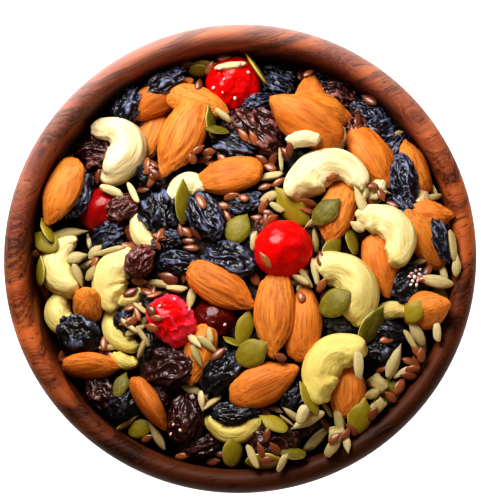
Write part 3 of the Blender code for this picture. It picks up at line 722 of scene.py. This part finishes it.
class Kitchen:
    """Makes each kind's blanks once, copies them to size, and gathers the copies by kind."""

    def __init__(self):
        self.blanks = {kind: [make(number) for number in range(count)]
                       for kind, (make, count) in BLANKS.items()}
        self.small = {kind: [make(SMALL_FROM + number, SMALL_FINENESS)
                             for number in range(SMALL_COUNT)]
                      for kind, (make, _) in BLANKS.items() if kind not in NO_SMALL}
        self.chance = random.Random(7)
        self.trays = {}

    def copy(self, kind, small, number):
        """A copy, with its own mesh, of a blank that is asked for or else drawn by lot."""
        source = self.chance.choice((self.small if small else self.blanks)[kind])
        if number is not None:
            source = self.blanks[kind][number]
        piece = source.copy()
        piece.data = source.data.copy()
        bpy.context.scene.collection.objects.link(piece)
        return piece

    def add(self, kind, turn, place, length, width, bend=0, fatter=0, small=False, tone=None,
            number=None):
        """Shape a copy to its size, put it where the stack laid it, and set it on its tray."""
        shape = "raisin" if kind == "cranberry" else kind
        piece = self.copy(shape, small, number)
        thick = KINDS[kind]["thick"]
        half_size = Vector((length / 2, width / 2, thick * width / 2))
        if kind == "sunflower":
            half_size.y *= SLIM
        flip = 0 if kind == "cherry" else self.chance.choice((0, pi))
        own_place = Matrix.Rotation(flip, 4, "X")
        if kind == "cashew":
            most = 2 * np.degrees(np.arcsin(min(1, (length - width) / width)))
            half, radius, shift = bend_line(length, width, min(bend, most))
            end = BALL_SHARES[-1] * half + width / 2 / radius
            half_size.x = radius * end
            piece.scale = half_size
            use(piece)
            bpy.ops.object.transform_apply(location=False, rotation=False, scale=True)
            if fatter:
                press(piece, "TAPER", "X", TAPER_PER_SHARE * fatter)
            press(piece, "BEND", "Z", 2 * end)
            own_place = Matrix.Translation((radius - shift, 0, 0))
            own_place = own_place @ Matrix.Rotation(pi / 2, 4, "Z")
            half_size = Vector((1, 1, 1))
        chosen = self.chance.random()
        note(piece, "tone", np.full(len(piece.data.vertices), chosen if tone is None else tone))
        turn_and_place = Matrix.Translation(place) @ Matrix(turn.tolist()).to_4x4()
        piece.matrix_world = turn_and_place @ own_place @ Matrix.Diagonal((*half_size, 1))
        self.trays.setdefault(TRAYS[kind], []).append(piece)

    def clear_away(self):
        for made in (self.blanks, self.small):
            for blanks in made.values():
                for blank in blanks:
                    bpy.data.objects.remove(blank)

    def gather(self, tray, material):
        """Join a tray's copies into one piece, with its place in its mesh."""
        deselect()
        for piece in self.trays[tray]:
            piece.select_set(True)
        joined = self.trays[tray][0]
        bpy.context.view_layer.objects.active = joined
        bpy.ops.object.join()
        joined.name = tray
        bpy.ops.object.transform_apply(location=True, rotation=True, scale=True)
        bpy.ops.object.mode_set(mode="EDIT")
        bpy.ops.mesh.select_all(action="SELECT")
        bpy.ops.mesh.normals_make_consistent(inside=False)
        done()
        bpy.ops.object.shade_smooth()
        dress(joined, material)
        return joined


def dress(piece, material):
    piece.data.materials.clear()
    piece.data.materials.append(material)
    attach(piece, "root")


def lay_out(kitchen):
    """Lay every piece of the tables, then tuck more into the gaps that are left."""
    stack = Stack()
    between = []
    for layer, rows in (("deep", DEEP), ("middle", MIDDLE), ("upper", UPPER), ("seeds", SEEDS),
                        ("sprinkled", SPRINKLED)):
        for number, across, up, width, before in TOP_CHERRIES:
            if before == layer:
                turn, place = stack.lay("cherry", across, up, 0, width, width)
                tone = CRUSHED_CHERRY_LIGHT if number == CRUSHED else TOP_CHERRY_LIGHT
                kitchen.add("cherry", turn, place, width * MM, width * MM, tone=tone,
                            number=number)
        if layer == "middle":
            # What shows between the others lies under them without lifting them
            kept = stack.top.copy(), stack.owner.copy()
            for row in BETWEEN:
                between.append((row, *stack.lay(*row)))
            between_top = stack.top.copy()
            stack.top, stack.owner = kept
        for row in rows:
            serve(kitchen, row, *stack.lay(*row))
    for row, turn, place in between:
        serve(kitchen, row, turn, place)
    stack.owner = np.where(between_top > stack.top, TUCKED, stack.owner)
    stack.top = np.maximum(stack.top, between_top)
    fill_gaps(kitchen, stack)


def serve(kitchen, row, turn, place):
    """Make the piece of a table's row where the stack laid it."""
    kind, _, _, _, length, width, *rest = row
    _, _, bend, fatter, sunk = (rest + [0] * 5)[:5]
    tone = max(0, COVERED_CHERRY_LIGHT - CHERRY_LIGHT_LOST_PER_MM * sunk) if kind == "cherry" else None
    kitchen.add(kind, turn, place, length * MM, width * MM, bend, fatter, tone=tone)


def fill_gaps(kitchen, stack):
    """Try pieces all over the heap: large ones first, then small ones, with more seeds in front."""
    chance = random.Random(3)
    for number in range(GAP_TRIES):
        large = number < LARGE_TRIES
        r, way = GAP_REACH * sqrt(chance.random()), chance.uniform(-pi, pi)
        x, y = r * cos(way), r * sin(way)
        seedy = 0.5 + 0.5 * cos(way - SEEDY_WAY)
        if large:
            kind = chance.choices(("raisin", "cranberry", "almond", "cashew"), (6, 3, 1, 0.3))[0]
        else:
            kind = chance.choices(("sunflower", "pumpkin", "flax", "raisin"),
                                  (0.2 + 6 * seedy**2, 0.2 + seedy, 1.2, 2.0))[0]
        length, width = (v * MM * chance.uniform(0.85, 1.15) for v in GAP_SIZES[kind])
        most_roll = 60 if kind in ("pumpkin", "sunflower") else 25
        roll = chance.uniform(-most_roll, most_roll)
        below, percent = (4 * MM, 30) if large else (2.5 * MM, 50)
        laid = stack.tuck(kind, x, y, chance.uniform(0, 360), length, width, roll, below, percent)
        if laid:
            kitchen.add(kind, *laid, length, width, GAP_BEND, small=True)


def drawn_up(name, profile, steps):
    """A closed round solid, drawn up ring by ring from the disc that it stands on."""
    (radius, height), *rings = profile
    deselect()
    bpy.ops.mesh.primitive_circle_add(vertices=steps, radius=radius, fill_type="TRIFAN")
    piece = bpy.context.object
    piece.name = name
    bpy.ops.object.mode_set(mode="EDIT")
    bpy.ops.mesh.select_mode(type="EDGE")
    bpy.ops.transform.translate(value=(0, 0, height))
    bpy.ops.mesh.select_all(action="DESELECT")
    bpy.ops.mesh.select_non_manifold(extend=False)
    for next_radius, next_height in rings:
        rise = (0, 0, next_height - height)
        bpy.ops.mesh.extrude_edges_move(TRANSFORM_OT_translate={"value": rise})
        share = next_radius / radius
        bpy.ops.transform.resize(value=(share, share, 1), center_override=(0, 0, 0))
        radius, height = next_radius, next_height
    bpy.ops.mesh.merge(type="CENTER")
    bpy.ops.mesh.select_all(action="SELECT")
    bpy.ops.mesh.normals_make_consistent(inside=False)
    done()
    bpy.ops.object.shade_smooth()
    return piece


def make_bowl(material):
    foot_angle = np.arcsin(LIP_BASE / OUTSIDE_DEPTH)
    outside = [(RIM_RADIUS * cos(a), LIP_BASE - OUTSIDE_DEPTH * sin(a))
               for a in np.linspace(foot_angle, 0, 30)]
    middle = HOLLOW_RADIUS + LIP_WIDTH / 2
    lip = [(middle + LIP_WIDTH / 2 * cos(a), LIP_BASE + LIP_ROUND * sin(a))
           for a in np.linspace(0, pi, 25)[1:]]
    depth = LIP_BASE - FLOOR
    heights = [LIP_BASE - depth * share**0.7 for share in np.linspace(0, 1, 26)[1:-1]]
    wall = [(float(hollow_radius(z)), z) for z in heights]
    round_foot = [(FOOT_RADIUS - FOOT_INSET, 0), (FOOT_RADIUS, FOOT_ROUND)]
    profile = round_foot + outside[1:] + lip + wall + [(2 * MM, FLOOR)]
    bowl = drawn_up("turned_bowl", profile, LATHE_STEPS)
    dress(bowl, material)
    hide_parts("bowl")


def make_core(material):
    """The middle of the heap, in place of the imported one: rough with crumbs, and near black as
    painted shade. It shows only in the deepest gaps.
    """
    below = [(r - MM, float(hollow_height(r)) + MM) for r in np.linspace(8, 62, 9) * MM]
    above = [(CORE_RADIUS * share, CORE_EDGE + CROWN * (1 - share**2))
             for share in np.linspace(1, 0.03, 22)]
    core = drawn_up("packed_core", below + above, 96)
    places = corners(core)
    pick(core, places[:, 2] > CORE_EDGE - 0.5 * MM)
    slope = CORE_TILT / FILL_RADIUS
    for axis, angle in (("X", -slope * sin(TILT_TOWARDS)), ("Y", slope * cos(TILT_TOWARDS))):
        bpy.ops.transform.rotate(value=angle, orient_axis=axis, center_override=(0, 0, CORE_EDGE))
    bpy.ops.mesh.subdivide(number_cuts=2)
    done()
    pucker(core, "CLOUDS", 4 * MM, (1, 1, 1), 2.2 * MM, 0.3, 0.75)
    pucker(core, "STUCCI", 1.6 * MM, (1, 1, 1), 1.0 * MM, 0.1, 0.8)
    dress(core, material)
    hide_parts("trail_mix")


# Materials

def paint(code):
    """A colour written as on a screen, such as D98A45, in the linear light of the shader."""
    parts = [int(code[k:k + 2], 16) / 255 for k in (0, 2, 4)]
    linear = [v / 12.92 if v < 0.04045 else ((v + 0.055) / 1.055) ** 2.4 for v in parts]
    return (*linear, 1.0)


class Value:
    """A number or colour that varies over a surface, on which sums can be written."""

    def __init__(self, finish, socket):
        self.finish, self.socket = finish, socket

    def math(self, operation, first, second):
        return self.finish.node("ShaderNodeMath", {"operation": operation}, {0: first, 1: second})

    def __add__(self, other):
        return self.math("ADD", self, other)

    def __sub__(self, other):
        return self.math("SUBTRACT", self, other)

    def __rsub__(self, other):
        return self.math("SUBTRACT", other, self)

    def __mul__(self, other):
        return self.math("MULTIPLY", self, other)

    def __pow__(self, other):
        return self.math("POWER", self, other)

    def above(self, other):
        return self.math("MAXIMUM", self, other)

    __radd__ = __add__
    __rmul__ = __mul__

    def step(self, low, high):
        """0 below low, 1 above high and smooth between."""
        return self.finish.node("ShaderNodeMapRange", {"interpolation_type": "SMOOTHSTEP"},
                                {0: self, 1: low, 2: high, 3: 0.0, 4: 1.0})


class Finish:
    """One material and its nodes."""

    def __init__(self, name, **fixed):
        self.material = bpy.data.materials.new(name)
        self.material.use_nodes = True
        self.tree = self.material.node_tree
        self.shader = self.tree.nodes["Principled BSDF"]
        for socket, value in fixed.items():
            self.shader.inputs[socket.replace("_", " ")].default_value = value

    def node(self, kind, settings, inputs, out=None):
        made = self.tree.nodes.new(kind)
        for name, value in settings.items():
            setattr(made, name, value)
        for key, value in inputs.items():
            if isinstance(value, Value):
                self.tree.links.new(value.socket, made.inputs[key])
            else:
                made.inputs[key].default_value = value
        sockets = [s for s in made.outputs if s.enabled]
        return Value(self, made.outputs[out] if out is not None else sockets[0])

    def kept(self, name, out="Fac"):
        """A value or vector that the piece's mesh keeps."""
        return self.node("ShaderNodeAttribute", {"attribute_name": name}, {}, out)

    def place(self):
        return self.node("ShaderNodeTexCoord", {}, {}, "Object")

    def stretched(self, vector, turn, scale):
        return self.node("ShaderNodeMapping", {"vector_type": "TEXTURE"},
                         {"Vector": vector, "Rotation": turn, "Scale": scale})

    def parts(self, vector):
        split = self.node("ShaderNodeSeparateXYZ", {}, {"Vector": vector})
        return [Value(self, socket) for socket in split.socket.node.outputs]

    def joined(self, x, y, z):
        return self.node("ShaderNodeCombineXYZ", {}, {0: x, 1: y, 2: z})

    def noise(self, vector, scale, detail=3.0, roughness=0.5, twist=0.0):
        return self.node("ShaderNodeTexNoise", {}, {"Vector": vector, "Scale": scale,
                         "Detail": detail, "Roughness": roughness, "Distortion": twist})

    def spots(self, vector, scale):
        return self.node("ShaderNodeTexVoronoi", {}, {"Vector": vector, "Scale": scale}, "Distance")

    def mix(self, share, first, second):
        return self.node("ShaderNodeMix", {"data_type": "RGBA"},
                         {0: share, 6: first, 7: second}, 2)

    def between(self, share, first, second):
        """Start the colour between two paints."""
        self.colour = self.mix(share, paint(first), paint(second))

    def over(self, share, code):
        """Lay a paint over the colour."""
        self.colour = self.mix(share, self.colour, paint(code))

    def wire(self, socket, value):
        self.tree.links.new(value.socket, self.shader.inputs[socket])

    def finished(self, roughness, height, depth, strength):
        """Wire up the colour, roughness and relief, and give the material."""
        self.wire("Base Color", self.colour)
        self.wire("Roughness", roughness)
        self.wire("Normal", self.node("ShaderNodeBump", {}, {"Strength": strength,
                                      "Distance": depth, "Height": height}))
        return self.material


def wood():
    """Oiled wood with its grain across the bowl, with a painted sheen on the far lip and painted
    shade on the near side and inside.
    """
    look = Finish("oiled_wood", Specular_IOR_Level=0.25)
    along = look.stretched(look.place(), (0, 0, radians(22)), (1, 1, 1))
    x, y, z = look.parts(along)
    sway = look.noise(look.joined(x * 0.5, y, z), 30.0, 3.0)
    y = y + 0.1 + (sway - 0.5) * 0.03
    depth = z + 0.03
    ring = (y * y + depth * depth) ** 0.5
    band = look.noise(look.joined(x * 0.12, ring, 0.0), 170.0, 3.0, 0.65)
    broad = look.noise(look.joined(x * 0.2, ring, 0.0), 70.0, 2.0)
    fibre = look.noise(look.joined(x * 0.035, y, z), 1500.0, 3.0, 0.6)
    pore = look.noise(look.joined(x * 0.1, y, z), 900.0, 1.0)
    look.between(broad.step(0.38, 0.62), "74301A", "C06C38")
    look.over(band.step(0.44, 0.62) * 0.9, "3E160A")
    look.over(fibre.step(0.4, 0.7) * 0.4, "CE8350")
    dark_pore = pore.step(0.62, 0.72) * 0.7
    look.over(dark_pore, "32140B")
    across, far, up = look.parts(look.place())
    way = far - across * 0.22 + (sway - 0.5) * 0.03
    lip = up.step(UPPER_WALL, LIP_BASE)
    # Painted shade: darker towards the near side, most on the lip.
    look.over((0.0 - way).step(0.0, 0.07) * (0.4 + lip * 0.45), "220C05")
    r = (across * across + far * far) ** 0.5
    # Painted sheen: a pale pinkish reflection on the far side's lip, most at its outer edge.
    painted_sheen = way.step(0.0, 0.08) * (0.25 + r.step(RIM_RADIUS - 4 * MM, RIM_RADIUS) * 0.4)
    look.over(painted_sheen * lip, "BEA6A6")
    # Painted shade on the inner wall, under the lip.
    inside = (HOLLOW_RADIUS - r).step(-0.6 * MM, 1.2 * MM) * up.step(*INNER_SHADE_FOOT)
    painted_inner_shade = inside * (LIP_BASE - up).step(-4 * MM, 5 * MM)
    look.over(painted_inner_shade * 0.8, "1E0A05")
    return look.finished(0.46 + fibre * 0.18, fibre * 0.4 - dark_pore, 0.12 * MM, 0.6)


def almond_skin():
    """Brown skin, darker in its long furrows and dusty on its ridges, with painted shade in its
    hollows.
    """
    look = Finish("almond_skin", Specular_IOR_Level=0.35)
    x, y, z = look.parts(look.kept("own", "Vector"))
    tone, relief = look.kept("tone"), look.kept("relief")
    furrow = look.noise(look.joined(x * 0.12 + tone * 9.0, y * 1.6, z * 1.6), 6.0, 3.0, 0.65, 0.2)
    patch = look.noise(look.joined(x + tone * 5.0, y, z), 1.6, 2.0)
    dust = look.noise(look.place(), 2200.0, 3.0, 0.7)
    look.between(tone, "D27C2C", "E2933C")
    look.over(patch.step(0.35, 0.7) * 0.25, "EEB060")
    look.over(furrow.step(0.52, 0.6) * (0.3 + tone * 0.35), "8E4612")
    # Painted shade in the hollows of the shape.
    look.over((1 - relief).step(0.5, 1.0) * 0.3, "8A4414")
    look.over(dust.step(0.5, 0.8) * 0.12, "F2C8A0")
    return look.finished(0.42 + dust * 0.2, dust * 0.15 - furrow, 0.4 * MM, 0.7)


def cashew_flesh():
    look = Finish("cashew_flesh", Subsurface_Weight=0.12, Subsurface_Scale=0.0015,
                  Specular_IOR_Level=0.4)
    x, y, z = look.parts(look.kept("own", "Vector"))
    tone, relief = look.kept("tone"), look.kept("relief")
    _, far, _ = look.parts(look.place())
    cloud = look.noise(look.joined(x + tone * 7.0, y, z), 2.4, 3.0)
    line = look.noise(look.joined(x * 0.5, y * 2.0, z * 2.0 + tone * 4.0), 4.0, 3.0, 0.6)
    grain = look.noise(look.place(), 1800.0, 2.0, 0.6)
    # Painted light and shade: pale cream on the far side, a deeper yellow towards the near side.
    look.between(far.step(-0.04, 0.04), "E4D784", "F4ECCC")
    look.over(cloud.step(0.35, 0.7) * 0.35, "E2CE70")
    # Painted shade in the hollows of the shape.
    look.over((1 - relief) * 0.35, "B89E40")
    look.over(line.step(0.55, 0.75) * 0.35, "B29C4C")
    return look.finished(0.42 + grain * 0.15, grain * 0.3 - line - cloud, 0.5 * MM, 0.6)


def cherry_glaze():
    look = Finish("cherry_glaze", Subsurface_Weight=0.15, Subsurface_Scale=0.004,
                  Coat_Weight=0.12, Coat_Roughness=0.2, Specular_IOR_Level=0.25)
    own = look.kept("own", "Vector")
    lit, relief = look.kept("tone"), look.kept("relief")
    x, y, _ = look.parts(own)
    cloud = look.noise(own, 1.7, 3.0)
    speck = look.noise(own, 26.0, 3.0, 0.7)
    crease = look.noise(own, 5.0, 3.0, 0.6, 0.6)
    look.between(cloud.step(0.35, 0.65), "DE0006", "F80008")
    look.over(crease.step(0.55, 0.7) * 0.4, "A00004")
    # Painted highlight: pink on the ridges and towards the sides of the cherry with full painted
    # light.
    pink = relief.step(0.6, 1.0).above((x * x + y * y).step(0.3, 0.8)) * lit.step(0.92, 1.0)
    look.over(pink * 0.5, "FF5C80")
    look.over(speck.step(0.64, 0.7) * 0.6, "FFA0A4")
    # Painted shade: darker the less painted light the cherry gets.
    look.over(1 - lit, "5E0E05")
    return look.finished(0.24 + speck.step(0.55, 0.7) * 0.2, speck * 0.5 - crease, 0.16 * MM, 0.4)


def raisin_skin(name, deep, body, ridge):
    """Shrivelled skin: dark and a little glossy in the folds, with a pale bloom on the ridges that
    is partly painted sheen, and painted shade towards the near side.
    """
    look = Finish(name, Subsurface_Weight=0.05, Subsurface_Scale=0.002, Specular_IOR_Level=0.6)
    own = look.kept("own", "Vector")
    tone, relief = look.kept("tone"), look.kept("relief")
    wrinkle = look.node("ShaderNodeTexNoise", {"noise_type": "RIDGED_MULTIFRACTAL"},
                        {"Vector": own, "Scale": 1.9, "Detail": 2.5, "Roughness": 0.5,
                         "Distortion": 0.6, "Offset": 0.9, "Gain": 1.6}, "Fac")
    dust = look.noise(look.place(), 1500.0, 3.0, 0.7)
    look.between(tone, deep, body)
    _, far, _ = look.parts(look.place())
    # Painted light, full on the far side; towards the near side the skin is darkened as painted
    # shade.
    painted_light_share = 0.2 + far.step(-0.05, 0.025) * 0.8
    look.over(1 - painted_light_share, deep)
    # On the ridges: a pale waxy coat that is partly painted sheen, fading where the painted light
    # does.
    bloom_and_sheen = relief.step(0.5, 1.0) * (0.4 + dust * 0.8) * (0.4 + wrinkle.step(0.3, 0.9) * 0.6) * painted_light_share
    look.over(bloom_and_sheen * 0.8, ridge)
    return look.finished(0.3 + bloom_and_sheen * 0.2, wrinkle + dust * 0.08, 0.6 * MM, 0.7)


def pumpkin_skin():
    look = Finish("pumpkin_seed_skin", Specular_IOR_Level=0.45)
    x, y, z = look.parts(look.kept("own", "Vector"))
    tone = look.kept("tone")
    cloud = look.noise(look.joined(x + tone * 8.0, y, z), 2.6, 3.0)
    line = look.noise(look.joined(x * 0.25, y * 2.0, z + tone * 5.0), 7.0, 3.0)
    look.between(tone, "625E10", "A09024")
    look.over(cloud.step(0.4, 0.7) * 0.3, "B4A440")
    look.over(line.step(0.55, 0.7) * 0.2, "5E5A14")
    rim = 1 - (z * z).step(0.0, 0.08)
    look.over(rim * 0.75, "DDD68A")
    return look.finished(0.36 + cloud * 0.2, line + cloud, 0.25 * MM, 0.5)


def sunflower_flesh():
    look = Finish("sunflower_kernel", Specular_IOR_Level=0.35)
    x, y, z = look.parts(look.kept("own", "Vector"))
    tone = look.kept("tone")
    line = look.noise(look.joined(x * 0.3 + tone * 6.0, y * 2.0, z * 2.0), 4.5, 3.0)
    grain = look.noise(look.place(), 2500.0, 2.0)
    look.between(tone, "AC9C66", "DED2A4")
    look.over(line.step(0.5, 0.7) * 0.45, "8E7A50")
    look.over(x.step(0.6, 1.0) * 0.5, "7A6448")
    look.over(grain.step(0.5, 0.8) * 0.25, "F0E8CC")
    return look.finished(0.5 + grain * 0.2, line, 0.25 * MM, 0.5)


def flax_shell():
    look = Finish("flax_shell", Coat_Weight=0.4, Coat_Roughness=0.22)
    own = look.kept("own", "Vector")
    tone = look.kept("tone")
    cloud = look.noise(own, 2.5, 3.0)
    look.between(tone, "70391E", "A8683E")
    look.over(cloud.step(0.45, 0.7) * 0.5, "5A2812")
    return look.finished(0.28 + cloud * 0.15, cloud, 0.1 * MM, 0.4)


def sugar():
    look = Finish("sugar", Subsurface_Weight=0.2, Subsurface_Scale=0.001, Specular_IOR_Level=0.7)
    grain = look.noise(look.place(), 3000.0, 2.0)
    look.between(look.kept("tone"), "F2B4BC", "FBEFEA")
    return look.finished(0.15 + grain * 0.3, grain, 0.1 * MM, 0.5)


def crumbs():
    look = Finish("crumbs_in_painted_shade", Specular_IOR_Level=0.3)
    place = look.place()
    grain = look.noise(place, 420.0, 4.0, 0.6)
    patch = look.noise(place, 90.0, 2.0)
    bits = look.spots(place, 520.0)
    # Painted shade: the core is near black, standing for the shade deep in the gaps, with paler
    # crumbs on it.
    look.between(patch.step(0.4, 0.6), "0E0706", "2A160E")
    look.over(bits.step(0.4, 0.1) * 0.5, "5E4526")
    return look.finished(0.55 + grain * 0.2, grain - bits, 0.8 * MM, 0.8)


def white_floor():
    look = Finish("white_floor", Specular_IOR_Level=0.1, Emission_Color=(1, 1, 1, 1),
                  Emission_Strength=0.9)
    mottle = look.noise(look.place(), 3.0, 2.0)
    look.wire("Base Color", look.mix(mottle, (0.38, 0.38, 0.38, 1), (0.42, 0.42, 0.42, 1)))
    look.wire("Roughness", 0.7 + mottle * 0.1)
    return look.material


# The studio

def aim(thing, target):
    thing.rotation_euler = (Vector(target) - thing.location).to_track_quat("-Z", "Y").to_euler()


def set_up_studio():
    deselect()
    bpy.ops.mesh.primitive_plane_add(size=6)
    floor = bpy.context.object
    floor.name = "studio_floor"
    floor.data.materials.append(white_floor())
    for place, size, power in LIGHTS:
        bpy.ops.object.light_add(type="AREA", location=place)
        light = bpy.context.object
        light.data.size = size
        light.data.energy = power
        aim(light, LOOK_AT)
    world = bpy.data.worlds.new("soft_room")
    bpy.context.scene.world = world
    world.use_nodes = True
    background = world.node_tree.nodes["Background"]
    background.inputs["Color"].default_value = ROOM_COLOUR
    background.inputs["Strength"].default_value = ROOM_STRENGTH
    bpy.context.scene.view_settings.view_transform = "Standard"
    bpy.context.scene.view_settings.look = "High Contrast"


def set_up_camera():
    bpy.ops.object.camera_add(location=EYE)
    camera = bpy.context.object
    camera.data.lens = LENS
    camera.data.sensor_width = 36
    camera.data.clip_start = 0.01
    back = (EYE - LOOK_AT).normalized()
    right = Vector((0, 1, 0)).cross(back).normalized()
    up = back.cross(right)
    camera.rotation_euler = Matrix((right, up, back)).transposed().to_euler()
    bpy.context.scene.camera = camera


set_up_camera()
set_up_studio()
kitchen = Kitchen()
lay_out(kitchen)
kitchen.clear_away()
make_bowl(wood())
make_core(crumbs())
cherries = kitchen.gather("cherries", cherry_glaze())
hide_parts("cherry_back", "cherry_centre", "cherry_front")
for tray, material in (
        ("almonds", almond_skin()),
        ("cashews", cashew_flesh()),
        ("dark_raisins", raisin_skin("dark_raisin_skin", "070608", "1A1C2E", "98A2C8")),
        ("brown_raisins", raisin_skin("brown_raisin_skin", "2C0906", "521C16", "C48A84")),
        ("pumpkin_seeds", pumpkin_skin()),
        ("sunflower_kernels", sunflower_flesh()),
        ("flax_seeds", flax_shell()),
        ("sugar_crystals", sugar())):
    kitchen.gather(tray, material)
